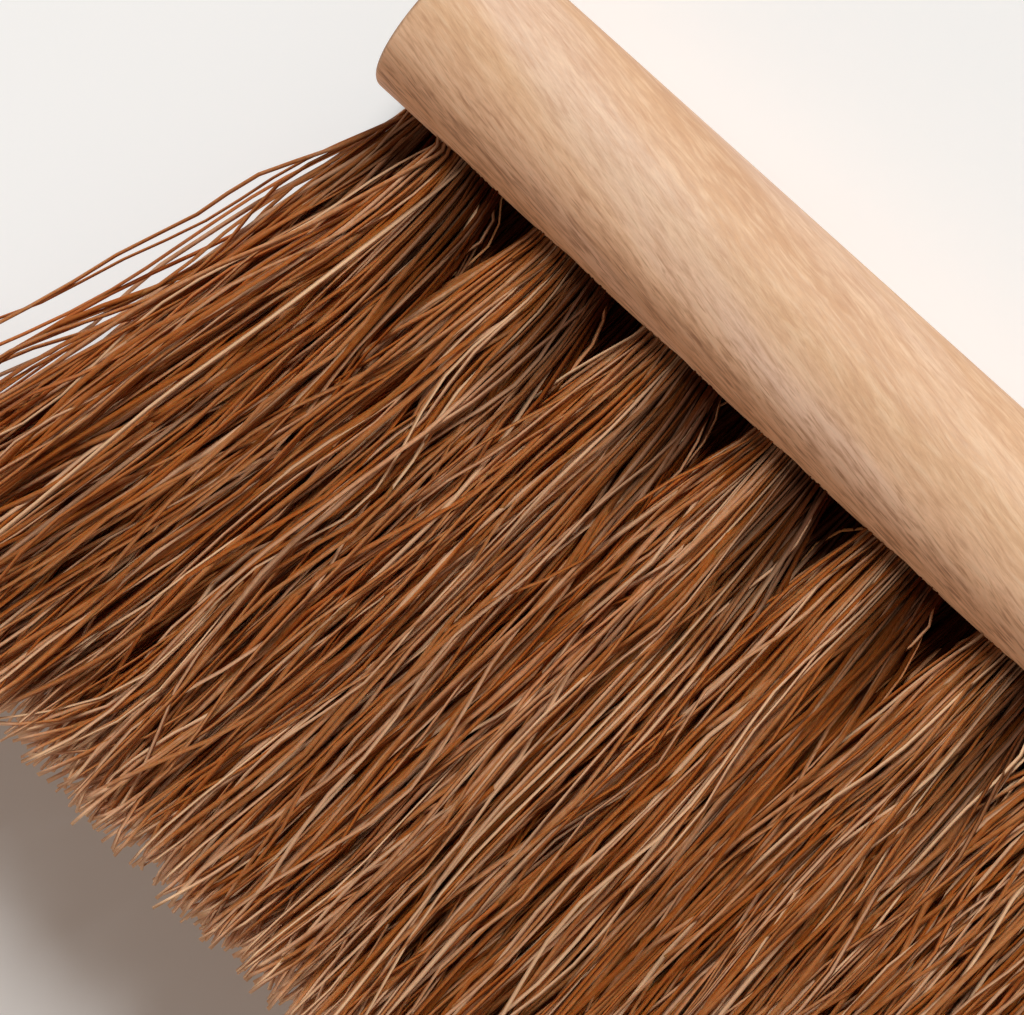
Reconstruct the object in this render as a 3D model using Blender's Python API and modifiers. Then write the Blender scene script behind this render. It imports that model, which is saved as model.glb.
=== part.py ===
"""A fireplace brush: a round beech rod with two staggered rows of long fibre tufts.

Metres, +Z up. The rod runs along +X from its head end, whose face has its centre at the origin. The
brush lies on its side: the rod and the tips of the lower tufts touch one flat surface, and the
bristles point to -Y. Every piece is modelled with the bristles straight up, and the empty that
carries them all then lays the brush down.
"""

import math
import random

import bmesh
import bpy
from mathutils import Matrix, Vector

# Rod
ROD_DIAMETER = 0.025
ROD_LENGTH = 0.380
ROD_SIDES = 64
END_EASING = 0.001
EASING_STEPS = 3
HANGING_HOLE_DIAMETER = 0.008
HANGING_HOLE_FROM_END = 0.020
HANGING_HOLE_SIDES = 24

# Tuft holes, in two rows either side of the middle of the bristles; each lower tuft has an upper one
# a little further along the rod
TUFTS_PER_ROW = 12
FIRST_TUFT = 0.0092
TUFT_PITCH = 0.0196
PAIR_OFFSET = 0.0070
ROW_OFFSET = 0.0030
SPLAY_ANGLE = math.radians(1.0)
HOLE_DIAMETER = 0.0076
HOLE_DEPTH = 0.012
HOLE_SIDES = 10

# Bristles
BRISTLE_LENGTH = 0.113
TIP_THICKNESS = 0.032
END_LEAN_ANGLE = math.radians(14.4)
LEAN_GROWTH = 1.7
STRANDS_PER_TUFT = 15
STRAND_WIDTH = 0.0014
ROOT_SHARE = 0.6
STRAND_BEND = 0.0010
SWAY_ANGLE = math.radians(50.0)
UNEVEN_SHARE = 0.05
TUFT_SHARE = 0.93
SEED = 24

# Staples of square wire
STAPLE_WIRE = 0.0009
STAPLE_CROWN = 0.0028
STAPLE_BITE = 0.0035

# Clearance between neighbouring pieces, and how far a drill runs on past the wood
GAP = 0.0003
DRILL_OVERRUN = 0.002

# What follows from the sizes above
ROD_RADIUS = ROD_DIAMETER / 2
HOLE_RADIUS = HOLE_DIAMETER / 2
FLAT_SHARE = math.cos(math.pi / HOLE_SIDES)
PLUG_RADIUS = HOLE_RADIUS - GAP / FLAT_SHARE
STAPLE_SPAN = 2 * math.sqrt((PLUG_RADIUS * FLAT_SHARE) ** 2 - STAPLE_WIRE**2)
MOUTH_HEIGHT = math.sqrt(ROD_RADIUS**2 - ROW_OFFSET**2)
REACH = ROD_RADIUS + BRISTLE_LENGTH
ROWS_HALF_LENGTH = (PAIR_OFFSET + (TUFTS_PER_ROW - 1) * TUFT_PITCH) / 2
ROWS_MIDDLE = FIRST_TUFT + ROWS_HALF_LENGTH
TIP_SLOPE = math.atan2(TIP_THICKNESS / 2, REACH)
LIFT = TIP_SLOPE - math.asin(ROD_RADIUS * math.cos(TIP_SLOPE) / REACH)
ROOT_WIDTH = ROOT_SHARE * PLUG_RADIUS * math.sqrt(math.pi / STRANDS_PER_TUFT)
STRAND_STATIONS = ((0.35, STRAND_WIDTH), (0.80, ROOT_WIDTH), (1.0, 0.0))
GOLDEN_ANGLE = math.pi * (3 - math.sqrt(5))


def clear_scene():
    for item in list(bpy.data.objects):
        bpy.data.objects.remove(item, do_unlink=True)


def new_collection(name):
    collection = bpy.data.collections.new(name)
    bpy.context.scene.collection.children.link(collection)
    return collection


def new_material(name, colour, roughness, metallic=0.0):
    surface = bpy.data.materials.new(name)
    surface.use_nodes = True
    surface.diffuse_color = (*colour, 1.0)
    shader = surface.node_tree.nodes["Principled BSDF"]
    shader.inputs["Base Color"].default_value = (*colour, 1.0)
    shader.inputs["Roughness"].default_value = roughness
    shader.inputs["Metallic"].default_value = metallic
    return surface


def place(name, mesh, collection, carrier, matrix):
    """A new object of this mesh, hung on the carrier at this place."""
    piece = bpy.data.objects.new(name, mesh)
    collection.objects.link(piece)
    piece.parent = carrier
    piece.matrix_local = matrix
    return piece


def place_cutter(name, mesh, collection, carrier, matrix):
    cutter = place(name, mesh, collection, carrier, matrix)
    cutter.hide_render = True
    cutter.display_type = "WIRE"
    return cutter


def cylinder_mesh(name, radius, depth, sides):
    """The mesh of a closed cylinder along Z, its middle at the origin."""
    bpy.ops.mesh.primitive_cylinder_add(vertices=sides, radius=radius, depth=depth)
    cylinder = bpy.context.object
    mesh = cylinder.data
    mesh.name = name
    bpy.data.objects.remove(cylinder, do_unlink=True)
    return mesh


def staple_mesh(name, grown):
    """The mesh of a U of square wire, grown by a clearance on every face.

    It stands in XZ on the bottom of its hole, which is at height 0, with its crown up and its legs
    driven down into the wood.
    """
    outer = STAPLE_SPAN / 2 + grown
    inner = STAPLE_SPAN / 2 - STAPLE_WIRE - grown
    top = STAPLE_CROWN + grown
    under = STAPLE_CROWN - STAPLE_WIRE - grown
    foot = -STAPLE_BITE - grown
    left_half = ((-outer, top), (-outer, foot), (-inner, foot), (-inner, under))
    right_half = tuple((-across, up) for across, up in reversed(left_half))
    outline = bpy.data.curves.new(name, "CURVE")
    outline.dimensions = "2D"
    outline.fill_mode = "BOTH"
    outline.extrude = STAPLE_WIRE / 2 + grown
    spline = outline.splines.new("POLY")
    spline.points.add(len(left_half + right_half) - 1)
    for point, (across, up) in zip(spline.points, left_half + right_half):
        point.co = (across, up, 0.0, 1.0)
    spline.use_cyclic_u = True
    drawn = bpy.data.objects.new(name, outline)
    bpy.context.scene.collection.objects.link(drawn)
    graph = bpy.context.evaluated_depsgraph_get()
    mesh = bpy.data.meshes.new_from_object(drawn.evaluated_get(graph))
    bpy.data.objects.remove(drawn, do_unlink=True)
    shape = bmesh.new()
    shape.from_mesh(mesh)
    bmesh.ops.remove_doubles(shape, verts=shape.verts, dist=0.00001)
    bmesh.ops.rotate(shape, verts=shape.verts, matrix=Matrix.Rotation(math.pi / 2, 3, "X"))
    shape.to_mesh(mesh)
    shape.free()
    return mesh


def cut(piece, name, cutter):
    """Cuts a piece with one object, or with every object of a collection."""
    made = piece.modifiers.new(name, "BOOLEAN")
    made.operation = "DIFFERENCE"
    made.solver = "EXACT"
    if isinstance(cutter, bpy.types.Collection):
        made.operand_type = "COLLECTION"
        made.collection = cutter
    else:
        made.object = cutter


def tuft_holes():
    """Label, side and mouth of each tuft hole: +Z leaves the hole, and +X runs along the rod."""
    for row, side, start in (("upper", 1, PAIR_OFFSET), ("lower", -1, 0.0)):
        for index in range(TUFTS_PER_ROW):
            along = FIRST_TUFT + start + index * TUFT_PITCH
            mouth = Matrix.Translation((along, side * ROW_OFFSET, MOUTH_HEIGHT))
            splayed = Matrix.Rotation(-side * SPLAY_ANGLE, 4, "X")
            yield f"{row}_{index + 1:02d}", side, mouth @ splayed


def make_rod(parts, holes, slots, carrier, wood):
    """The rod: eased ends, a hanging hole, and the blind holes and staple slots of the tufts."""
    mesh = cylinder_mesh("rod", ROD_RADIUS, ROD_LENGTH, ROD_SIDES)
    mesh.materials.append(wood)
    along_x = Matrix.Rotation(math.pi / 2, 4, "Y")
    rod = place("rod", mesh, parts, carrier, Matrix.Translation((ROD_LENGTH / 2, 0, 0)) @ along_x)
    easing = rod.modifiers.new("eased_ends", "BEVEL")
    easing.width = END_EASING
    easing.segments = EASING_STEPS
    easing.limit_method = "ANGLE"
    easing.angle_limit = math.radians(60)
    drill = cylinder_mesh(
        "hanging_hole", HANGING_HOLE_DIAMETER / 2, ROD_DIAMETER + 2 * DRILL_OVERRUN, HANGING_HOLE_SIDES
    )
    near_end = Matrix.Translation((ROD_LENGTH - HANGING_HOLE_FROM_END, 0, 0))
    upright = Matrix.Rotation(LIFT - math.pi / 2, 4, "X")
    place_cutter("hanging_hole", drill, holes, carrier, near_end @ upright)
    cut(rod, "drilled", holes)
    cut(rod, "slotted", slots)
    return rod


def leaned(along):
    """Lean of the bristles towards the nearer end, growing from none at the middle of the rows."""
    outward = (along - ROWS_MIDDLE) / ROWS_HALF_LENGTH
    return math.copysign(END_LEAN_ANGLE * abs(outward) ** LEAN_GROWTH, outward)


def strand_lines(side, mouth, chance):
    """Points of each strand of a tuft, root first, in the frame of its hole.

    The roots lie on a sunflower spiral over the end of the plug. The tips spread in the same order
    over the tuft's own share of the brush, a rectangle that is one pitch long and as thick as one
    row, so the strands fan out and none crosses another.
    """
    from_brush = mouth.inverted()
    along = mouth.translation.x
    spread = PLUG_RADIUS - ROOT_WIDTH / math.sqrt(3) - GAP
    turn = chance.uniform(0, 2 * math.pi)
    sway = chance.uniform(-SWAY_ANGLE, SWAY_ANGLE)
    for index in range(STRANDS_PER_TUFT):
        radius = math.sqrt((index + 0.5) / STRANDS_PER_TUFT)
        angle = turn + index * GOLDEN_ANGLE
        across, up = radius * math.cos(angle), radius * math.sin(angle)
        to_square = TUFT_SHARE * radius / max(abs(across), abs(up))
        source = along + across * to_square * TUFT_PITCH / 2
        length = BRISTLE_LENGTH * (1 - UNEVEN_SHARE * chance.random())
        tip = from_brush @ Vector(
            (
                source + length * math.tan(leaned(source)),
                (side + up * to_square) * TIP_THICKNESS / 4,
                ROD_RADIUS + length * math.cos(leaned(source)),
            )
        )
        root = Vector((spread * across, spread * up, 0))
        line = [root]
        for reached, _ in STRAND_STATIONS:
            bend = STRAND_BEND * math.sin(2 * math.pi * reached)
            line.append(root.lerp(tip, reached) + bend * Vector((math.cos(sway), math.sin(sway), 0)))
        yield line


def make_tuft(label, side, mouth, parts, carrier, fibre, staple_room, chance):
    """A tuft: its folded root fills the hole as a plug, and the strands rise from the plug's end."""
    shape = bmesh.new()
    rim = bmesh.ops.create_circle(shape, segments=HOLE_SIDES, radius=PLUG_RADIUS)["verts"]
    loops = [list({edge for vertex in rim for edge in vertex.link_edges})]
    lines = list(strand_lines(side, mouth, chance))
    for index, line in enumerate(lines):
        turned = Matrix.Translation(line[0]) @ Matrix.Rotation(index * GOLDEN_ANGLE, 4, "Z")
        base = bmesh.ops.create_circle(
            shape, segments=3, radius=ROOT_WIDTH / math.sqrt(3), matrix=turned
        )["verts"]
        loops.append(list({edge for vertex in base for edge in vertex.link_edges}))
    bmesh.ops.triangle_fill(shape, use_beauty=True, edges=shape.edges, normal=(0, 0, 1))

    wall = bmesh.ops.extrude_edge_only(shape, edges=loops[0])["geom"]
    foot = [item for item in wall if isinstance(item, bmesh.types.BMVert)]
    bmesh.ops.translate(shape, verts=foot, vec=(0, 0, GAP - HOLE_DEPTH))
    bmesh.ops.contextual_create(shape, geom=foot)

    for line, loop in zip(lines, loops[1:]):
        width_here = ROOT_WIDTH
        for (_, width), here, there in zip(STRAND_STATIONS, line, line[1:]):
            ring = bmesh.ops.extrude_edge_only(shape, edges=loop)["geom"]
            corners = [item for item in ring if isinstance(item, bmesh.types.BMVert)]
            loop = [item for item in ring if isinstance(item, bmesh.types.BMEdge)]
            if width == 0.0:
                bmesh.ops.pointmerge(shape, verts=corners, merge_co=there)
                continue
            about = Matrix.Translation(-here)
            bmesh.ops.scale(shape, verts=corners, vec=[width / width_here] * 3, space=about)
            bmesh.ops.translate(shape, verts=corners, vec=there - here)
            width_here = width
    bmesh.ops.recalc_face_normals(shape, faces=shape.faces)

    mesh = bpy.data.meshes.new("tuft_" + label)
    shape.to_mesh(mesh)
    shape.free()
    mesh.materials.append(fibre)
    tuft = place("tuft_" + label, mesh, parts, carrier, mouth)
    cut(tuft, "folded_over_staple", staple_room)
    return tuft


def build():
    clear_scene()
    parts = new_collection("fireplace_brush")
    holes = new_collection("hole_cutters")
    slots = new_collection("staple_cutters")
    wood = new_material("beech", (0.60, 0.42, 0.27), 0.5)
    fibre = new_material("plant_fibre", (0.20, 0.09, 0.035), 0.6)
    steel = new_material("staple_steel", (0.55, 0.55, 0.56), 0.35, 1.0)

    staple = staple_mesh("staple", 0.0)
    staple.materials.append(steel)
    staple_room = staple_mesh("staple_room", GAP)
    drill = cylinder_mesh("tuft_hole", HOLE_RADIUS, HOLE_DEPTH + ROD_RADIUS, HOLE_SIDES)
    drill_middle = Matrix.Translation((0, 0, (ROD_RADIUS - HOLE_DEPTH) / 2))
    hole_bottom = Matrix.Translation((0, 0, -HOLE_DEPTH))

    carrier = bpy.data.objects.new("laid_on_its_side", None)
    parts.objects.link(carrier)
    carrier.rotation_euler.x = math.pi / 2 - LIFT
    chance = random.Random(SEED)
    for label, side, mouth in tuft_holes():
        place_cutter("hole_" + label, drill, holes, carrier, mouth @ drill_middle)
        room = place_cutter("room_" + label, staple_room, slots, carrier, mouth @ hole_bottom)
        place("staple_" + label, staple, parts, carrier, mouth @ hole_bottom)
        make_tuft(label, side, mouth, parts, carrier, fibre, room, chance)
    make_rod(parts, holes, slots, carrier, wood)


build()
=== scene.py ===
"""A fireplace brush lying on its side: a round beech rod with two rows of long plant-fibre tufts."""

import math

import bpy
import numpy as np
from mathutils import Matrix, Vector


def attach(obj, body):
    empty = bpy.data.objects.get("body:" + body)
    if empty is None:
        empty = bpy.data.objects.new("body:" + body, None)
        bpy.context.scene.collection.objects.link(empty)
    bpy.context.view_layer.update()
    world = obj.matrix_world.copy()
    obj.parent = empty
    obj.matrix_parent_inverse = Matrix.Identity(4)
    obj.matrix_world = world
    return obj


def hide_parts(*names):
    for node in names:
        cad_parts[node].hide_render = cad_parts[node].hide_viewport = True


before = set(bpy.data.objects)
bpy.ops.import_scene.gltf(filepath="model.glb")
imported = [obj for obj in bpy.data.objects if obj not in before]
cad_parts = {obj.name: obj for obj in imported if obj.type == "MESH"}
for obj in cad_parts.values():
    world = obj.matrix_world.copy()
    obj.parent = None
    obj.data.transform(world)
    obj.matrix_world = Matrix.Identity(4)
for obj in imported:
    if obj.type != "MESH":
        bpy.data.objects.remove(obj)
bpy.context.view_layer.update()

# ROD
# The real rod is a stock dowel of steamed beech, sanded and left bare. It is one piece, turned with
# eased ends; two rows of blind holes take the tufts and one hole through the far end hangs the brush.
ROD_RADIUS = 0.0125
ROD_LENGTH = 0.380
END_EASING = 0.001
EASING_STEPS = 9
FACE_RINGS = (0.30, 0.60, 0.82)
ROD_SIDES = 192
BARREL_RINGS = 93
BARREL_INSET = 0.006
SHARP_ANGLE = math.radians(40)
HANGING_HOLE_RADIUS = 0.004
HANGING_HOLE_PLACE = 0.360
HOLE_RADIUS = 0.0038
HOLE_DEPTH = 0.012
HOLE_SIDES = 40
MOUTH_RADIUS = 0.0040
MOUTH_DEPTH = 0.0003
DRILL_OVERRUN = 0.003
SPIRAL_GRAIN = -17.0
GRAIN_WANDER = 0.0016
GROWTH_RING = 0.0026
PITH = (0, 0.021, -0.034)
END_GRAIN_DEPTH = 0.0006
END_GRAIN_BLEND = 0.0005
ROW_OFFSET = 0.0030
SPLAY_ANGLE = math.radians(1.0)
TUFTS_PER_ROW = 12
FIRST_TUFT = 0.0092
TUFT_PITCH = 0.0196
PAIR_OFFSET = 0.0070
BRISTLE_LENGTH = 0.113
TIP_THICKNESS = 0.032

MOUTH_HEIGHT = math.sqrt(ROD_RADIUS**2 - ROW_OFFSET**2)
REACH = ROD_RADIUS + BRISTLE_LENGTH
ROWS_HALF_LENGTH = (PAIR_OFFSET + (TUFTS_PER_ROW - 1) * TUFT_PITCH) / 2
ROWS_MIDDLE = FIRST_TUFT + ROWS_HALF_LENGTH
TIP_SLOPE = math.atan2(TIP_THICKNESS / 2, REACH)
# The rod and the lowest tips both lie on the table, so the bristles rise from the rod by LIFT
LIFT = TIP_SLOPE - math.asin(ROD_RADIUS * math.cos(TIP_SLOPE) / REACH)
# The brush's own axes: along the rod, across the two rows, and out along the bristles
BRUSH_AXES = np.array(
    [[1, 0, 0], [0, math.sin(LIFT), math.cos(LIFT)], [0, -math.cos(LIFT), math.sin(LIFT)]]
)


def tuft_places():
    """Row name, number, side and place along the rod of each tuft."""
    for row, side, start in (("upper", 1, PAIR_OFFSET), ("lower", -1, 0.0)):
        for index in range(TUFTS_PER_ROW):
            yield row, index + 1, side, FIRST_TUFT + start + index * TUFT_PITCH


def lathed(profile, sides):
    """A surface of revolution about X.

    Ring i has the profile's place x_i and radius r_i, and its point j stands at the angle
    2 pi j / sides: (x_i, r_i cos, r_i sin). A pole on the axis closes either end.
    """
    x, radius = np.asarray(profile).T
    angle = 2 * np.pi * np.arange(sides) / sides
    rings = np.stack(
        [
            np.broadcast_to(x[:, None], (len(x), sides)),
            radius[:, None] * np.cos(angle),
            radius[:, None] * np.sin(angle),
        ],
        axis=-1,
    ).reshape(-1, 3)
    here = np.arange(sides)
    there = (here + 1) % sides
    row = sides * np.arange(len(x) - 1)[:, None]
    quads = np.stack([row + here, row + there, row + sides + there, row + sides + here], axis=-1)
    poles = np.array([[x[0], 0, 0], [x[-1], 0, 0]])
    first, last = len(rings), len(rings) + 1
    end = sides * (len(x) - 1)
    first_cap = [(first, b, a) for a, b in zip(here, there)]
    last_cap = [(last, end + a, end + b) for a, b in zip(here, there)]
    return np.concatenate([rings, poles]), [*quads.reshape(-1, 4).tolist(), *first_cap, *last_cap]


def new_mesh(name, points, faces):
    """A smooth object at the origin with this mesh."""
    mesh = bpy.data.meshes.new(name)
    mesh.from_pydata(np.asarray(points, float), [], faces)
    mesh.shade_smooth()
    mesh.validate()
    piece = bpy.data.objects.new(name, mesh)
    bpy.context.scene.collection.objects.link(piece)
    return piece


def add(tree, kind, settings=None, **sockets):
    """A shader node of this kind; a socket is named, or numbered as s0, s1, and is linked or set."""
    node = tree.nodes.new("ShaderNode" + kind)
    for name, value in (settings or {}).items():
        setattr(node, name, value)
    for name, value in sockets.items():
        numbered = name[0] == "s" and name[1:].isdigit()
        socket = node.inputs[int(name[1:])] if numbered else node.inputs[name.replace("_", " ")]
        if isinstance(value, bpy.types.NodeSocket):
            tree.links.new(value, socket)
        else:
            socket.default_value = value
    return node


def calc(tree, operation, *values, clamp=False):
    """The result of one operation on numbers or sockets."""
    sockets = {f"s{index}": value for index, value in enumerate(values)}
    return add(tree, "Math", {"operation": operation, "use_clamp": clamp}, **sockets).outputs[0]


def blended(tree, factor, first, second, blend_type="MIX"):
    """Two colours mixed by a factor."""
    settings = {"data_type": "RGBA", "blend_type": blend_type}
    return add(tree, "Mix", settings, s0=factor, s6=first, s7=second).outputs[2]


def times(tree, colour, factors):
    """A colour multiplied by another."""
    return blended(tree, 1.0, colour, factors, "MULTIPLY")


def vector(tree, operation, first, second):
    """The result of one operation on two vectors."""
    return add(tree, "VectorMath", {"operation": operation}, s0=first, s1=second).outputs[0]


def length(tree, given):
    """A vector's length."""
    return add(tree, "VectorMath", {"operation": "LENGTH"}, s0=given).outputs["Value"]


def graded(tree, value, *stops, smooth=False):
    """A colour ramp's colour: each stop is a place and a colour or grey."""
    node = add(tree, "ValToRGB", Fac=value)
    ramp = node.color_ramp
    ramp.interpolation = "EASE" if smooth else "LINEAR"
    while len(ramp.elements) < len(stops):
        ramp.elements.new(1.0)
    for element, (place, colour) in zip(ramp.elements, stops):
        element.position = place
        element.color = (*colour, 1.0) if isinstance(colour, tuple) else (colour, colour, colour, 1.0)
    return node.outputs[0]


def new_surface(name):
    """A material with an empty Principled BSDF, and its node tree and shader."""
    surface = bpy.data.materials.new(name)
    surface.use_nodes = True
    return surface, surface.node_tree, surface.node_tree.nodes["Principled BSDF"]


def stretched_noise_group():
    """A node group: noise on Object coordinates with its own frequency, per metre, along each axis."""
    group = bpy.data.node_groups.new("stretched_noise", "ShaderNodeTree")
    for name, kind in (
        ("Place", "NodeSocketVector"),
        ("Frequency", "NodeSocketVector"),
        ("Detail", "NodeSocketFloat"),
        ("Roughness", "NodeSocketFloat"),
        ("Distortion", "NodeSocketFloat"),
    ):
        group.interface.new_socket(name, in_out="INPUT", socket_type=kind)
    group.interface.new_socket("Value", in_out="OUTPUT", socket_type="NodeSocketFloat")
    given = group.nodes.new("NodeGroupInput").outputs
    noise = add(
        group,
        "TexNoise",
        Vector=vector(group, "MULTIPLY", given["Place"], given["Frequency"]),
        Scale=1.0,
        Detail=given["Detail"],
        Roughness=given["Roughness"],
        Distortion=given["Distortion"],
    )
    group.links.new(noise.outputs[0], group.nodes.new("NodeGroupOutput").inputs["Value"])
    return group


stretched = stretched_noise_group()


def stretched_noise(tree, place, frequency, detail=2.0, roughness=0.5, distortion=0.0):
    """The noise group placed in a material with these values."""
    node = tree.nodes.new("ShaderNodeGroup")
    node.node_tree = stretched
    tree.links.new(place, node.inputs["Place"])
    node.inputs["Frequency"].default_value = frequency
    node.inputs["Detail"].default_value = detail
    node.inputs["Roughness"].default_value = roughness
    node.inputs["Distortion"].default_value = distortion
    return node.outputs["Value"]


def beech_surface():
    """Bare beech: pale pinkish tan with soft bands and short wavy streaks, winding a little round X,
    with a painted sheen and painted light and shade by side.
    """
    surface, tree, shader = new_surface("beech")
    place = add(tree, "TexCoord").outputs["Object"]
    along = add(tree, "SeparateXYZ", Vector=place).outputs[0]
    turn = calc(tree, "MULTIPLY", along, SPIRAL_GRAIN)
    spiral = add(tree, "VectorRotate", {"rotation_type": "X_AXIS"}, Vector=place, Angle=turn).outputs[0]
    wander = calc(tree, "SUBTRACT", stretched_noise(tree, spiral, (70, 210, 210)), 0.5)
    aside = vector(tree, "MULTIPLY", wander, (0, GRAIN_WANDER, GRAIN_WANDER))
    grain = vector(tree, "ADD", aside, spiral)

    bands = stretched_noise(tree, grain, (8, 150, 150), 3.0)
    streaks = stretched_noise(tree, grain, (190, 1350, 1350), 4.0, 0.60, 0.3)
    fibres = stretched_noise(tree, grain, (700, 3600, 3600), 2.0, 0.6)
    flecks = stretched_noise(tree, grain, (260, 2700, 2700), 1.0)
    sheen = stretched_noise(tree, spiral, (14, 110, 110))
    dark_mask = graded(tree, streaks, (0.47, 0.0), (0.70, 1.0))
    pale_mask = graded(tree, streaks, (0.30, 1.0), (0.50, 0.0))

    wood = graded(
        tree,
        bands,
        (0.30, (0.610, 0.365, 0.215)),
        (0.50, (0.680, 0.425, 0.255)),
        (0.72, (0.715, 0.465, 0.295)),
    )
    # Pale pinkish-grey patches along the rod are a painted sheen
    painted_sheen_share = graded(tree, sheen, (0.44, 0.0), (0.64, 0.8))
    wood = blended(tree, painted_sheen_share, wood, (0.690, 0.475, 0.345, 1.0))
    # Painted light and shade by side: the wood is painted brighter and redder on its shaded bristle
    # side, paler pinkish-grey across the middle, and greyer and darker on its lit side opposite
    across = add(tree, "SeparateXYZ", Vector=place).outputs[1]
    toward_back = calc(tree, "MULTIPLY_ADD", across, 0.5 / ROD_RADIUS, 0.5)
    painted_light_by_side = graded(
        tree,
        toward_back,
        (0.05, (1.33, 1.16, 1.05)),
        (0.45, (1.19, 1.19, 1.27)),
        (0.70, (0.94, 0.93, 0.92)),
        (0.95, (0.84, 0.82, 0.83)),
    )
    wood = times(tree, wood, painted_light_by_side)
    # The grain marks are real; that they show more strongly on the bristle side than on the lit side is
    # painted raking light
    painted_raking_share = graded(tree, toward_back, (0.25, 1.0), (0.60, 0.34))
    wood = blended(tree, calc(tree, "MULTIPLY", dark_mask, painted_raking_share), wood, (0.43, 0.215, 0.110, 1.0))
    wood = blended(tree, calc(tree, "MULTIPLY", pale_mask, 0.35), wood, (0.80, 0.580, 0.400, 1.0))
    flecked = calc(tree, "MULTIPLY", graded(tree, flecks, (0.57, 0.0), (0.72, 0.8)), painted_raking_share)
    wood = blended(tree, flecked, wood, (0.40, 0.190, 0.100, 1.0))
    stripes = stretched_noise(tree, grain, (80, 620, 620))
    stripes = graded(tree, stripes, (0.36, (1.05, 1.06, 1.07)), (0.64, (0.94, 0.90, 0.86)))
    wood = blended(tree, painted_raking_share, wood, times(tree, wood, stripes))
    wood = times(tree, wood, graded(tree, fibres, (0.30, 0.94), (0.70, 1.05)))

    # End grain: the two faces show faint growth rings about a pith outside the rod, and darker pores
    from_middle = calc(tree, "ABSOLUTE", calc(tree, "SUBTRACT", along, ROD_LENGTH / 2))
    past_barrel = calc(tree, "SUBTRACT", from_middle, ROD_LENGTH / 2 - END_GRAIN_DEPTH)
    end_mask = calc(tree, "MULTIPLY", past_barrel, 1 / END_GRAIN_BLEND, clamp=True)
    from_pith = vector(tree, "MULTIPLY", vector(tree, "SUBTRACT", place, PITH), (0, 1, 1))
    turns = calc(tree, "MULTIPLY", length(tree, from_pith), 2 * math.pi / GROWTH_RING)
    rings = calc(tree, "SINE", turns)
    end_pores = stretched_noise(tree, place, (900, 2600, 2600))
    end_tone = calc(tree, "ADD", calc(tree, "MULTIPLY", rings, 0.16), end_pores)
    end_wood = graded(tree, end_tone, (0.25, (0.30, 0.155, 0.085)), (0.75, (0.50, 0.300, 0.180)))
    wood = blended(tree, end_mask, wood, end_wood)
    tree.links.new(wood, shader.inputs["Base Color"])

    tree.links.new(graded(tree, fibres, (0.25, 0.50), (0.75, 0.66)), shader.inputs["Roughness"])
    shader.inputs["Specular IOR Level"].default_value = 0.30
    height = calc(tree, "SUBTRACT", calc(tree, "MULTIPLY", fibres, 0.5), streaks)
    bump = add(tree, "Bump", Strength=0.32, Distance=0.00018, Height=height)
    tree.links.new(bump.outputs[0], shader.inputs["Normal"])
    return surface


# The rod's profile: rings on the flat face, a quarter circle for the eased edge, the barrel, and the
# head end's rings turned round for the handle end
eased = np.linspace(0, np.pi / 2, EASING_STEPS)
corner_radius = ROD_RADIUS - END_EASING * (1 - np.sin(eased))
head_corner = np.stack([END_EASING * (1 - np.cos(eased)), corner_radius], axis=1)
face_rings = np.array([[0.0, share] for share in FACE_RINGS]) * [1, ROD_RADIUS]
barrel_places = np.linspace(BARREL_INSET, ROD_LENGTH - BARREL_INSET, BARREL_RINGS)
barrel = np.stack([barrel_places, np.full(BARREL_RINGS, ROD_RADIUS)], axis=1)
head_end = np.concatenate([face_rings, head_corner])
handle_end = head_end[::-1] * [-1, 1] + [ROD_LENGTH, 0]
rod = new_mesh("beech_rod", *lathed(np.concatenate([head_end, barrel, handle_end]), ROD_SIDES))

# The drill cuts all holes at once: a stepped cylinder for each tuft and a plain one for hanging
hole_profile = [
    (0.0, HOLE_RADIUS),
    (HOLE_DEPTH - MOUTH_DEPTH, HOLE_RADIUS),
    (HOLE_DEPTH, MOUTH_RADIUS),
    (HOLE_DEPTH + DRILL_OVERRUN, MOUTH_RADIUS),
]
cutters = []
for _, _, side, along in tuft_places():
    splay = side * SPLAY_ANGLE
    points, faces = lathed(hole_profile, HOLE_SIDES)
    out = np.array([0, math.sin(splay), math.cos(splay)])
    over = np.array([0, math.cos(splay), -math.sin(splay)])
    start = np.array([along, side * ROW_OFFSET, MOUTH_HEIGHT]) - HOLE_DEPTH * out
    turned = start + points @ np.array([out, over, [-1, 0, 0]])
    cutters.append((turned @ BRUSH_AXES, faces))
hanging_reach = ROD_RADIUS + DRILL_OVERRUN
hanging_profile = [(-hanging_reach, HANGING_HOLE_RADIUS), (hanging_reach, HANGING_HOLE_RADIUS)]
points, faces = lathed(hanging_profile, HOLE_SIDES)
upright = np.array([[0, 0, 1], [0, 1, 0], [-1, 0, 0]])
cutters.append((points @ upright + [HANGING_HOLE_PLACE, 0, 0], faces))
drill_faces = []
offset = 0
for points, faces in cutters:
    drill_faces += [[offset + corner for corner in face] for face in faces]
    offset += len(points)
drill = new_mesh("drill", np.concatenate([points for points, _ in cutters]), drill_faces)

drilled = rod.modifiers.new("drilled", "BOOLEAN")
drilled.operation = "DIFFERENCE"
drilled.solver = "EXACT"
drilled.object = drill
undrilled = rod.data
rod.data = bpy.data.meshes.new_from_object(rod.evaluated_get(bpy.context.evaluated_depsgraph_get()))
rod.modifiers.clear()
bpy.data.objects.remove(drill, do_unlink=True)
bpy.data.meshes.remove(undrilled)
rod.data.shade_smooth()
rod.data.set_sharp_from_angle(angle=SHARP_ANGLE)
rod.data.materials.clear()
rod.data.materials.append(beech_surface())
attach(rod, "root")
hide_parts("rod")

# STAPLES
# Each tuft is held by a U of flat steel wire, driven through its folded root into the bottom of the
# hole. The CAD staples have the right shape and only need the drawn wire's finish.


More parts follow.
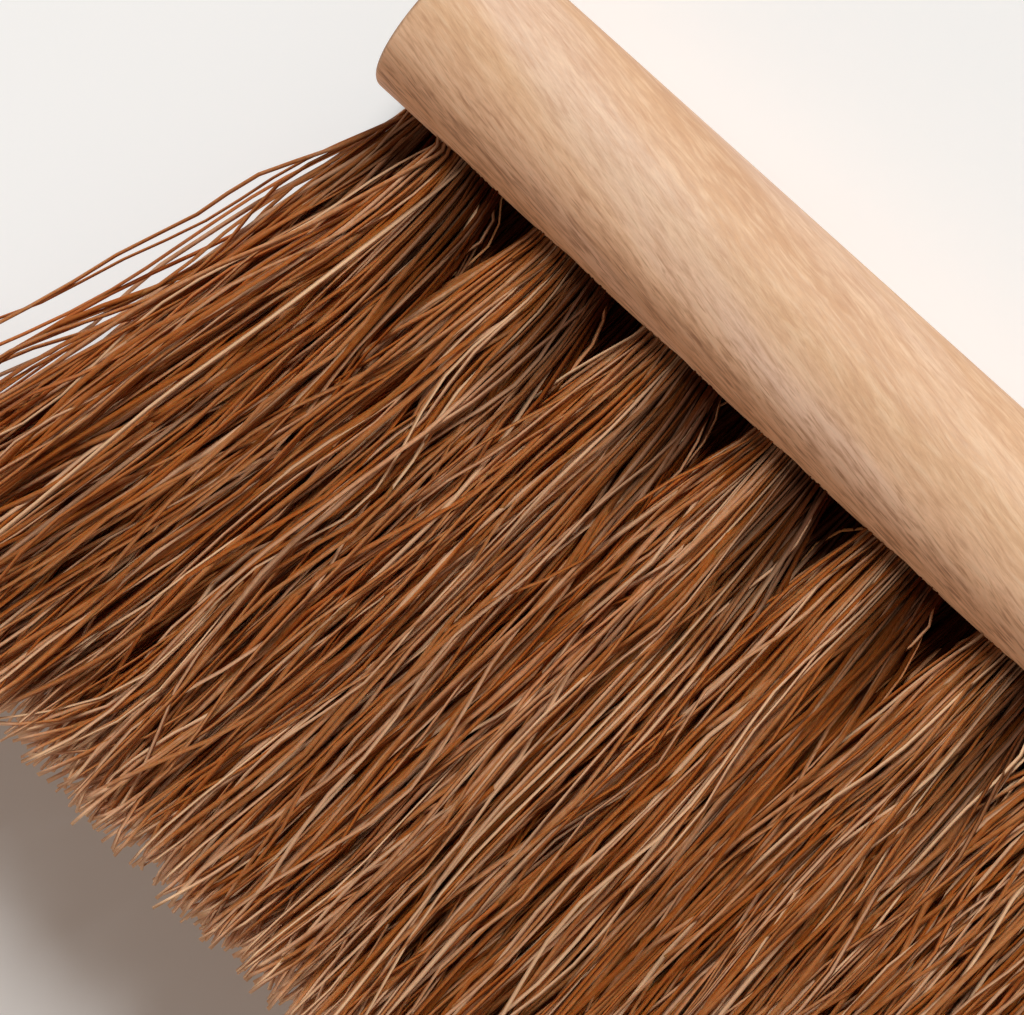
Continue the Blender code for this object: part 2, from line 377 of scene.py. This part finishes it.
def staple_steel_surface():
    """Drawn steel wire: grey, brushed along its length, a little dull where it was cut."""
    surface, tree, shader = new_surface("staple_steel")
    place = add(tree, "TexCoord").outputs["Object"]
    scratches = stretched_noise(tree, place, (4000, 600, 4000))
    tarnish = stretched_noise(tree, place, (700, 700, 700))
    colour = graded(tree, tarnish, (0.35, (0.42, 0.41, 0.40)), (0.60, (0.60, 0.60, 0.61)))
    tree.links.new(colour, shader.inputs["Base Color"])
    tree.links.new(graded(tree, scratches, (0.3, 0.24), (0.7, 0.42)), shader.inputs["Roughness"])
    shader.inputs["Metallic"].default_value = 1.0
    bump = add(tree, "Bump", Strength=0.2, Distance=0.00003, Height=scratches)
    tree.links.new(bump.outputs[0], shader.inputs["Normal"])
    return surface


steel = staple_steel_surface()
for name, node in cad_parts.items():
    if name.startswith("staple_"):
        node.data.materials.clear()
        node.data.materials.append(steel)

# TUFTS
# Each tuft is a bundle of stiff brown plant fibres, folded in half over its staple in the hole. The
# fibres fan out from the hole and run together in loose locks, and their tips are trimmed after
# the brush is filled.
STRANDS_PER_TUFT = 260
TARGET_SCATTER = np.array([0.20, 0.07])
SHAKE = 0.35
LOCKS_PER_TUFT = 24
LOCK_SPREAD = 0.95
LOCK_SCATTER = np.array([0.16, 0.06])
LOCK_MIXING = 0.09
GATHERED = (0.15, 0.72)
BUNDLE_RADIUS = 0.0035
MOUTH_SPREAD = np.array([0.0066, 0.0035])
MOUTH_START = -0.0035
MOUTH_END = -0.0005
FOLDED_IN = 0.8
FAN_SPREAD = np.array([0.0022, 0.0016])
FAN_HEIGHT = 0.014
LEAN_HEIGHT = 0.016
TIP_SHARE = np.array([0.62, 1.15])
TRIM_SLANT = 0.040
TRIM_SPREAD = 0.008
SHORT_SPREAD = 0.04
END_LEAN_ANGLE = math.radians(14.4)
LEAN_GROWTH = 1.7
STRAND_SIDES = 3
MEAN_WIDTH = 0.00071
WIDTH_SPREAD = 0.00013
THINNEST = 0.00034
THICKEST = 0.00095
# Places along a strand as shares of its length, close together where it leaves the wood; those below
# 0 are in the hole, and from FIRST_FREE on a strand's bends are rounded
STATIONS = np.array(
    [-8, -3.2, -1.8, -0.5, 1, 3.5, 7, 12, 17, 23, 29, 35, 42, 49, 56, 64, 72, 80, 88, 97, 105, 111, 113]
) / 113
FIRST_FREE = 5
# Waves: amplitude, shortest and longest length
STRAND_WAVES = [(0.0013, 0.028, 0.065), (0.00048, 0.017, 0.028)]
STRAND_KINK = math.radians(6.0)
LOCK_WAVES = [(0.0014, 0.045, 0.11)]
LOCK_KINK = math.radians(2.2)
WAVE_SPREAD = 0.7
# Heights and spans along a strand are shares of its length
WAVES_SET_IN = (0.02, 0.26)
KINK_HEIGHTS = (0.10, 0.92)
KINK_SOFTNESS = 0.002
STRAND_TWIST = 2.0
STRAY_SHARE = 0.05
STRAY_BOW = 0.0035
LOOP_SHARE = 0.05
LOOP_HEIGHTS = (0.04, 0.10)
LOOP_SPAN = 0.070
LOOP_SIZES = (0.0010, 0.0036)
HOOK = 0.0030
DRAWN_FROM = 0.35
DRAWN_SHARE = 0.7
FRINGE_SHARE = 0.12
FRINGE_TARGETS = (0.50, 1.25)
FRINGE_HOLD = 0.0022
FRINGE_BOWS = (0.0010, 0.0040)
FRINGE_BOW_HEIGHT = 0.12
# Tones run from 0, dark reddish brown, to 1, pale tan
MEAN_TONE = 0.39
TONE_SPREAD = 0.09
LOCK_TONE_SPREAD = 0.05
PALE_SHARE = 0.30
PALE_TONES = (0.2, 0.5)
STRAY_TONE = 0.15
LOOP_GLINT_TONE = 0.35
TIP_TONE = 0.58
FIBRE_GLOSS = 0.16
GOLDEN_ANGLE = np.pi * (3 - np.sqrt(5))
FLOOR_HEIGHT = -ROD_RADIUS
FLOOR_GAP = 0.00005


def disc_points(count, chance):
    """Points spread evenly over a unit disc: a sunflower spiral, each point shaken a little."""
    index = np.arange(count) + 0.5
    angle = index * GOLDEN_ANGLE + chance.uniform(0, 2 * np.pi)
    spots = np.sqrt(index / count)[:, None] * np.stack([np.cos(angle), np.sin(angle)], axis=1)
    spots = spots + chance.normal(0, SHAKE / np.sqrt(count), (count, 2))
    return spots / np.maximum(1, np.hypot(*spots.T))[:, None]


def squared(spots):
    """A disc's points moved out along their radii until the disc fills the square round it."""
    return spots * (np.hypot(*spots.T) / np.abs(spots).max(axis=1))[:, None]


def leaned(along):
    """Lean towards the nearer end of the brush, growing as a power of the distance from its middle."""
    outward = (along - ROWS_MIDDLE) / ROWS_HALF_LENGTH
    return np.copysign(END_LEAN_ANGLE * np.abs(outward) ** LEAN_GROWTH, outward)


def smooth_step(value, start, end):
    """0 before the start, 1 after the end, and a cubic ease between them."""
    share = np.clip((value - start) / (end - start), 0, 1)
    return share * share * (3 - 2 * share)


def drawn_in(targets, outer):
    """An end tuft's targets, drawn in on its outer side by DRAWN_SHARE of what lies past DRAWN_FROM."""
    beyond = np.clip(outer * targets[:, :1] - DRAWN_FROM, 0, None)
    return targets - outer * DRAWN_SHARE * beyond * [1, 0]


def courses(spots, targets, lengths, reached, side, along):
    """Middle lines of strands, as places along, across and out, for each strand and station.

    A strand goes from its spot in the round hole to its target at the tips. Just below the wood's
    surface a cubic ease opens the bundle from round to a wider rounded square. From there a fan
    closes exponentially and the rest is a straight line. The lean sets in along another exponential.
    """
    height = reached * lengths[:, None]
    above = np.clip(height, 0, None)
    root = BUNDLE_RADIUS * spots
    opened = squared(spots) * MOUTH_SPREAD
    fan = squared(spots) * FAN_SPREAD
    source = TIP_SHARE * targets * [TUFT_PITCH, TIP_THICKNESS / 4]
    source = source + [0, side * (TIP_THICKNESS / 4 - ROW_OFFSET)]
    leaves_wood = np.sqrt(ROD_RADIUS**2 - (side * ROW_OFFSET + root[:, 1]) ** 2) - MOUTH_HEIGHT
    free = smooth_step(height - leaves_wood[:, None], MOUTH_START, MOUTH_END)
    place = root[:, None] + (opened - root)[:, None] * free[..., None]
    place = place + fan[:, None] * (1 - np.exp(-above / FAN_HEIGHT))[..., None]
    place = place + (source - opened - fan)[:, None] * (above / BRISTLE_LENGTH)[..., None]
    place = place + [along, side * ROW_OFFSET]
    lean = leaned(along + source[:, 0])[:, None]
    held = LEAN_HEIGHT * (1 - np.exp(-above / LEAN_HEIGHT))
    place[..., 0] += np.tan(lean) * (above - held) * BRISTLE_LENGTH / (BRISTLE_LENGTH - LEAN_HEIGHT)
    out = MOUTH_HEIGHT + height * np.cos(lean)
    return np.concatenate([place, out[..., None]], axis=-1)


def waves(count, reached, sizes, chance):
    """Sideways waves for each strand and station: sines of random phase and direction."""
    total = np.zeros((count, reached.shape[-1], 2))
    for amplitude, shortest, longest in sizes:
        cycles = BRISTLE_LENGTH / chance.uniform(shortest, longest, (count, 1, 2))
        phase = chance.uniform(0, 2 * np.pi, (count, 1, 2))
        swing = amplitude * chance.normal(0, WAVE_SPREAD, (count, 1, 2))
        total += swing * np.sin(2 * np.pi * cycles * reached[..., None] + phase)
    return total * smooth_step(reached, *WAVES_SET_IN)[..., None]


def kinks(count, reached, angle, chance):
    """Bends at random heights that leave both ends where they are: two straight runs, eased together."""
    height = chance.uniform(*KINK_HEIGHTS, (count, 1, 1))
    slope = chance.normal(0, angle, (count, 1, 2)) * BRISTLE_LENGTH
    here = np.clip(reached, 0, None)[..., None]
    soft = 0.5 * (here - height + np.sqrt((here - height) ** 2 + KINK_SOFTNESS))
    return slope * (soft - here * (1 - height))


def lock_courses(side, along, outer, chance):
    """Spots of a tuft's locks, their middle lines, and the waves that a lock's strands share."""
    reached = np.broadcast_to(STATIONS, (LOCKS_PER_TUFT, len(STATIONS)))
    spots = disc_points(LOCKS_PER_TUFT, chance) * LOCK_SPREAD
    targets = squared(spots) + chance.normal(0, 1.0, (LOCKS_PER_TUFT, 2)) * LOCK_SCATTER
    lengths = np.full(LOCKS_PER_TUFT, BRISTLE_LENGTH)
    lines = courses(spots, drawn_in(targets, outer), lengths, reached, side, along)
    shared = waves(LOCKS_PER_TUFT, reached, LOCK_WAVES, chance)
    shared += kinks(LOCKS_PER_TUFT, reached, LOCK_KINK, chance)
    return spots, lines, shared


def rounded(lines):
    """Middle lines without sharp corners: a free point becomes half itself, a quarter each neighbour."""
    bare = lines[:, FIRST_FREE - 1 :]
    eased = lines.copy()
    eased[:, FIRST_FREE:-1] = 0.25 * bare[:, :-2] + 0.5 * bare[:, 1:-1] + 0.25 * bare[:, 2:]
    return eased


def free_of_painted_shade(spots, loop, reached, side, outer):
    """How free from the painted root shade each strand is at each station, from 0 to 1.

    The painted shade stands for the shadow of the rod and the neighbouring tufts, and ends with a cubic
    ease above the mouth. In the upper row it is darker and longer on a tuft's side towards the handle,
    and in the lower row all of a tuft is dark. Loops and the outer side of an end tuft have little or
    none.
    """
    handleward = smooth_step(spots[:, :1], -0.25, 0.5) * (outer < 1)
    start = 0.44 - 0.41 * handleward
    clear = start + (1 - start) * smooth_step(reached, 0.0, 0.07 + 0.22 * handleward)
    if side < 0:
        clear = smooth_step(reached, 0.03, 0.22)
    return np.maximum(clear, np.maximum(loop, np.clip(outer * spots[:, 0], 0, 1))[:, None])


def ringed(lines, width, chance):
    """Rings of points round middle lines: each ring stands square to its line and turns a little on."""
    forward = np.gradient(lines, axis=1)
    forward /= np.linalg.norm(forward, axis=-1, keepdims=True)
    first = np.array([0.0, 1.0, 0.0]) - forward * forward[..., 1:2]
    first /= np.linalg.norm(first, axis=-1, keepdims=True)
    second = np.cross(forward, first)
    corner = 2 * np.pi * np.arange(STRAND_SIDES) / STRAND_SIDES
    turn = chance.uniform(0, 2 * np.pi, (len(lines), 1, 1)) + corner
    turn = turn + STATIONS[:, None] * chance.normal(0, STRAND_TWIST, (len(lines), 1, 1))
    around = np.cos(turn)[..., None] * first[:, :, None] + np.sin(turn)[..., None] * second[:, :, None]
    return lines[:, :, None] + around * (width / 2)[..., None, None]


def tuft_strands(side, along, chance, outer):
    """Rings of points of every strand of a tuft, and their tone, freedom from painted root shade, and
    hue with painted bounce light.

    The side is 1 in the upper row and -1 in the lower. The outer direction is -1 or 1 in an end tuft,
    which has a neighbour on one side only, and 0 in the others.
    """
    count = STRANDS_PER_TUFT
    spots = disc_points(count, chance)
    targets = squared(spots) + chance.normal(0, 1.0, (count, 2)) * TARGET_SCATTER
    # A few of an end tuft's outermost fibres stand apart in a thin fringe and the rest draw in behind it
    fringe = (outer * targets[:, 0] > DRAWN_FROM) & (chance.random(count) < FRINGE_SHARE)
    targets = drawn_in(targets, outer)
    targets[fringe, 0] = outer * chance.uniform(*FRINGE_TARGETS, np.count_nonzero(fringe))
    lengths = 1 - TRIM_SPREAD * chance.random(count) ** 2 - SHORT_SPREAD * chance.random(count) ** 14
    lengths = BRISTLE_LENGTH * (lengths - TRIM_SLANT * (side + targets[:, 1]) / 2)
    reached = np.broadcast_to(STATIONS, (count, len(STATIONS)))

    # Each strand belongs to a lock near it, runs towards its middle line and parts again at the tips
    lock_spots, lock_lines, lock_waves = lock_courses(side, along, outer, chance)
    distance = np.linalg.norm(spots[:, None] - lock_spots[None], axis=-1)
    lock = np.argmin(distance + chance.normal(0, LOCK_MIXING, distance.shape), axis=1)
    lines = courses(spots, targets, lengths, reached, side, along)
    gather = chance.uniform(*GATHERED, LOCKS_PER_TUFT)[lock][:, None]
    gather = gather * smooth_step(reached, 0.08, 0.40) * (1 - 0.55 * smooth_step(reached, 0.70, 1.0))
    lines[..., :2] += (gather * ~fringe[:, None])[..., None] * (lock_lines[lock] - lines)[..., :2]
    lines[..., :2] += lock_waves[lock]
    lines[..., :2] += waves(count, reached, STRAND_WAVES, chance)
    lines[..., :2] += kinks(count, reached, STRAND_KINK, chance)

    # Strays bow out of the bundle, loops stand out beside the mouth, and a strand's last stretch hooks
    stray = chance.random(count) < STRAY_SHARE
    bow = chance.normal(0, STRAY_BOW, (count, 1, 2)) * stray[:, None, None]
    lines[..., :2] += bow * np.sin(np.pi * np.clip(reached, 0, 1))[..., None]
    loop = (chance.random(count) < LOOP_SHARE) & (np.abs(spots[:, 0]) > 0.5)
    loop_height = chance.uniform(*LOOP_HEIGHTS, (count, 1))
    bulge = np.exp(-(((reached - loop_height) / LOOP_SPAN) ** 2)) * loop[:, None]
    loop_size = np.copysign(chance.uniform(*LOOP_SIZES, count), spots[:, 0])
    lines[..., 0] += bulge * loop_size[:, None] * smooth_step(reached, 0, 0.03)
    hook = chance.normal(0, HOOK, (count, 1, 2))
    lines[..., :2] += hook * (smooth_step(reached, 0.86, 1.10) ** 2)[..., None]
    # The outermost fibres of an end tuft leave its mouth closer in, and those of the fringe then bow out
    outermost = np.clip(outer * squared(spots)[:, 0], 0, 1)
    lines[..., 0] -= outer * FRINGE_HOLD * outermost[:, None] * smooth_step(reached, -0.03, -0.005)
    bowed = fringe * chance.uniform(*FRINGE_BOWS, count)
    risen = 1 - np.exp(-np.clip(reached, 0, None) / FRINGE_BOW_HEIGHT)
    lines[..., 0] += outer * bowed[:, None] * risen
    lines = rounded(lines)
    # Below the mouth the strands close in on the staple
    inside = reached < -0.02
    lines[inside, 0] = along + FOLDED_IN * (lines[inside, 0] - along)

    # Three fibres in ten are pale and thinner; none is below the table
    pale = chance.random(count) < PALE_SHARE
    width = np.clip(chance.normal(MEAN_WIDTH, WIDTH_SPREAD, count), THINNEST, THICKEST)
    width = (width * (1 - 0.15 * pale - 0.12 * fringe))[:, None]
    thicker = 0.25 * smooth_step(reached, 0, 0.10)
    thinner = 0.06 * smooth_step(reached, 0.80, 1.0)
    width = width * (0.75 + thicker - thinner)
    lowest = FLOOR_HEIGHT + width / 2 + FLOOR_GAP
    floor_across = (lowest - lines[..., 2] * math.sin(LIFT)) / math.cos(LIFT)
    lines[..., 1] = np.maximum(lines[..., 1], floor_across)
    rings = ringed(lines, width, chance)

    # Most fibres are mid brown; strays and fringe are paler, loops paler still as a painted glint, and
    # so is every cut tip
    lock_tone = chance.normal(0, LOCK_TONE_SPREAD, LOCKS_PER_TUFT)[lock]
    tone = MEAN_TONE + lock_tone + chance.normal(0, TONE_SPREAD, count)
    tone = tone + chance.uniform(*PALE_TONES, count) * pale
    tone = tone + STRAY_TONE * stray + STRAY_TONE * fringe + LOOP_GLINT_TONE * loop
    tone = tone[:, None] + 0.06 * smooth_step(reached, 0.86, 0.97)
    tone = tone + TIP_TONE * smooth_step(reached, 0.97, 1.0)
    # Besides a random hue, the inner fibres are painted redder for the warm bounce light among them in
    # the shade, but less so near their tips
    hue_and_painted_bounce = 0.35 * chance.random(count) + 0.16 * (1 - side) + 0.40 * (1 - targets[:, 1])
    hue_and_painted_bounce = (hue_and_painted_bounce * (1 - 0.6 * outermost))[:, None] * (1 - 0.8 * smooth_step(reached, 0.78, 0.98))
    clear = free_of_painted_shade(spots, loop, reached, side, outer)
    tone = np.clip(tone, 0.02, 1.0)
    marks = np.stack(np.broadcast_arrays(tone, clear, hue_and_painted_bounce, np.float64(1)), axis=-1)
    return rings @ BRUSH_AXES, np.repeat(marks[:, :, None], STRAND_SIDES, axis=2)


def strand_faces(count, stations):
    """Quads round each strand, from ring to ring, and one face on either end."""
    corner = np.arange(STRAND_SIDES)
    after = (corner + 1) % STRAND_SIDES
    ring = STRAND_SIDES * np.arange(stations - 1)[:, None]
    following = ring + STRAND_SIDES
    strand = np.stack([ring + corner, ring + after, following + after, following + corner], axis=-1)
    start = STRAND_SIDES * stations * np.arange(count)[:, None]
    quads = start[..., None] + strand.reshape(1, -1, 4)
    tips = start + STRAND_SIDES * (stations - 1) + corner
    roots = start + corner[::-1]
    return [*quads.reshape(-1, 4).tolist(), *tips.tolist(), *roots.tolist()]


def fibre_surface():
    """Stiff plant fibre: dark reddish brown to pale tan, each strand its own tone, paler at its tip,
    with painted shade at the roots and painted warm bounce light inside the bundle.
    """
    surface, tree, shader = new_surface("plant_fibre")
    marks = add(tree, "Attribute", {"attribute_type": "GEOMETRY", "attribute_name": "fibre"})
    split = add(tree, "SeparateColor", Color=marks.outputs["Color"])
    own_tone, clear, hue_and_painted_bounce = split.outputs[0], split.outputs[1], split.outputs[2]
    place = add(tree, "TexCoord").outputs["Object"]
    patches = stretched_noise(tree, place, (130, 130, 130))
    specks = stretched_noise(tree, place, (1500, 900, 1500))

    tone = own_tone
    for noise, strength in ((patches, 0.30), (specks, 0.25)):
        tone = calc(tree, "MULTIPLY_ADD", calc(tree, "SUBTRACT", noise, 0.5), strength, tone)
    colour = graded(
        tree,
        tone,
        (0.05, (0.290, 0.068, 0.006)),
        (0.32, (0.375, 0.109, 0.019)),
        (0.52, (0.450, 0.176, 0.061)),
        (0.75, (0.635, 0.347, 0.202)),
        (1.0, (0.800, 0.490, 0.290)),
    )
    # Inner fibres get painted warm bounce light on top of their random hue
    bounce_reddened = times(tree, colour, (1.22, 0.81, 0.46, 1.0))
    colour = blended(tree, graded(tree, hue_and_painted_bounce, (0.45, 0.0), (0.95, 0.9)), colour, bounce_reddened)
    # Painted shade at the roots: the shadow of the rod and the neighbouring tufts
    painted_root_shade = times(tree, colour, (0.10, 0.05, 0.04, 1.0))
    colour = blended(tree, clear, painted_root_shade, colour)
    tree.links.new(colour, shader.inputs["Base Color"])
    tree.links.new(graded(tree, specks, (0.3, 0.34), (0.7, 0.56)), shader.inputs["Roughness"])
    shader.inputs["Specular IOR Level"].default_value = FIBRE_GLOSS
    # The painted root shade also dulls the gloss
    tree.links.new(calc(tree, "MULTIPLY", clear, FIBRE_GLOSS), shader.inputs["Specular IOR Level"])
    glow = graded(tree, own_tone, (0.35, 0.45), (0.75, 0.10))
    tree.links.new(glow, shader.inputs["Subsurface Weight"])
    shader.inputs["Subsurface Radius"].default_value = (1.0, 0.45, 0.25)
    shader.inputs["Subsurface Scale"].default_value = 0.0007
    shader.inputs["Sheen Weight"].default_value = 0.03
    shader.inputs["Sheen Roughness"].default_value = 0.4
    shader.inputs["Sheen Tint"].default_value = (1.0, 0.60, 0.32, 1.0)
    bump = add(tree, "Bump", Strength=0.35, Distance=0.00004, Height=specks)
    tree.links.new(bump.outputs[0], shader.inputs["Normal"])
    return surface


fibre = fibre_surface()
for row, number, side, along in tuft_places():
    chance = np.random.default_rng([24, number, side + 1])
    outer = {1: -1, TUFTS_PER_ROW: 1}.get(number, 0)
    rings, marks = tuft_strands(side, along, chance, outer)
    label = f"{row}_{number:02d}"
    faces = strand_faces(STRANDS_PER_TUFT, len(STATIONS))
    tuft = new_mesh("bristles_" + label, rings.reshape(-1, 3), faces)
    colours = tuft.data.attributes.new("fibre", "FLOAT_COLOR", "POINT")
    colours.data.foreach_set("color", marks.ravel())
    tuft.data.materials.append(fibre)
    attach(tuft, "root")
    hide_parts("tuft_" + label)

# STAGE
# The brush lies on a plain pale table top. A broad soft lamp stands low behind the rod, a weak warm
# fill low before the bristles' tips, and an even warm light comes from all round.
TABLE_HALF = 2.5
TABLE_COLOUR = (0.82, 0.79, 0.78, 1.0)
TABLE_BOUNCE = (0.80, 0.78, 0.76, 1.0)
# Painted light on the table: a glow shown to the camera, left out of a painted shadow oval
TABLE_PAINTED_LIGHT = (0.24, 0.27, 0.285, 1.0)
PAINTED_SHADOW_MIDDLE = (0.125, -0.150, 0.0)
PAINTED_SHADOW_SHAPE = (0.35, 1.0, 0.0)
PAINTED_SHADOW_RAMP = 0.1
LAMP_ELEVATION = math.radians(29)
LAMP_AZIMUTH = math.radians(5)
LAMP_STRENGTH = 3.4
LAMP_ANGLE = math.radians(17)
LAMP_COLOUR = (0.96, 1.0, 0.99)
FILL_ELEVATION = math.radians(14)
FILL_STRENGTH = 0.55
FILL_ANGLE = math.radians(40)
FILL_COLOUR = (1.0, 0.80, 0.66)
AMBIENT_STRENGTH = 0.26
AMBIENT_COLOUR = (1.0, 0.82, 0.69, 1.0)
BACKDROP_COLOUR = (0.95, 0.935, 0.92, 1.0)
LENS = 126.5625
SENSOR_WIDTH = 36.0
CAMERA_PLACE = (0.11579, 0.17403, 0.43318)
CAMERA_RIGHT = Vector((0.72658, 0.56080, -0.39697))
CAMERA_UP = Vector((-0.67366, 0.69510, -0.25104))


def shown_rays(tree):
    """1 for the rays that show a surface: from the camera, mirrored, or passed on through glass."""
    rays = add(tree, "LightPath")
    shown = calc(tree, "MAXIMUM", rays.outputs["Is Camera Ray"], rays.outputs["Is Glossy Ray"])
    return calc(tree, "MAXIMUM", shown, rays.outputs["Is Transmission Ray"])


corners = [(-1, -1), (1, -1), (1, 1), (-1, 1)]
corners = [(x * TABLE_HALF, y * TABLE_HALF, FLOOR_HEIGHT) for x, y in corners]
table = new_mesh("table_top", corners, [(0, 1, 2, 3)])
table_top, tree, shader = new_surface("pale_table_top")
shown = shown_rays(tree)
tree.links.new(blended(tree, shown, TABLE_BOUNCE, TABLE_COLOUR), shader.inputs["Base Color"])
shader.inputs["Roughness"].default_value = 0.9
shader.inputs["Specular IOR Level"].default_value = 0.0
# The table glows a little whiter to the camera everywhere but in an oval beyond the bristles' tips; the
# oval is a painted shadow that deepens their cast shadow
place = add(tree, "TexCoord").outputs["Object"]
from_middle = vector(tree, "SUBTRACT", place, PAINTED_SHADOW_MIDDLE)
away = length(tree, vector(tree, "MULTIPLY", from_middle, PAINTED_SHADOW_SHAPE))
away = calc(tree, "MULTIPLY", away, 1 / PAINTED_SHADOW_RAMP)
painted_light_share = graded(tree, away, (0.45, 0.0), (0.88, 1.0), smooth=True)
painted_light_share = calc(tree, "MULTIPLY", shown, painted_light_share)
painted_glow = blended(tree, painted_light_share, (0.0, 0.0, 0.0, 1.0), TABLE_PAINTED_LIGHT)
tree.links.new(painted_glow, shader.inputs["Emission Color"])
shader.inputs["Emission Strength"].default_value = 1.0
table.data.materials.append(table_top)

world = bpy.data.worlds.new("white_room")
bpy.context.scene.world = world
world.use_nodes = True
tree = world.node_tree
tree.nodes.clear()
ambient = add(tree, "Background", Color=AMBIENT_COLOUR, Strength=AMBIENT_STRENGTH)
backdrop = add(tree, "Background", Color=BACKDROP_COLOUR, Strength=1.0)
mixed = add(tree, "MixShader", s0=shown_rays(tree), s1=ambient.outputs[0], s2=backdrop.outputs[0])
add(tree, "OutputWorld", Surface=mixed.outputs[0])

for name, strength, angle, colour, elevation, azimuth, side in (
    ("soft_lamp", LAMP_STRENGTH, LAMP_ANGLE, LAMP_COLOUR, LAMP_ELEVATION, LAMP_AZIMUTH, 1),
    ("low_fill", FILL_STRENGTH, FILL_ANGLE, FILL_COLOUR, FILL_ELEVATION, 0.0, -1),
):
    lamp = bpy.data.objects.new(name, bpy.data.lights.new(name, "SUN"))
    bpy.context.scene.collection.objects.link(lamp)
    lamp.data.energy = strength
    lamp.data.angle = angle
    lamp.data.color = colour
    level = math.cos(elevation)
    aside = (-math.sin(azimuth) * level, side * math.cos(azimuth) * level)
    to_lamp = Vector((*aside, math.sin(elevation)))
    lamp.rotation_euler = to_lamp.to_track_quat("Z", "Y").to_euler()

camera = bpy.data.objects.new("camera", bpy.data.cameras.new("camera"))
bpy.context.scene.collection.objects.link(camera)
camera.data.lens = LENS
camera.data.sensor_width = SENSOR_WIDTH
camera.data.clip_start = 0.01
turned = Matrix((CAMERA_RIGHT, CAMERA_UP, CAMERA_RIGHT.cross(CAMERA_UP))).transposed()
camera.matrix_world = Matrix.Translation(CAMERA_PLACE) @ turned.to_4x4()
bpy.context.scene.camera = camera
bpy.context.scene.view_settings.view_transform = "Standard"
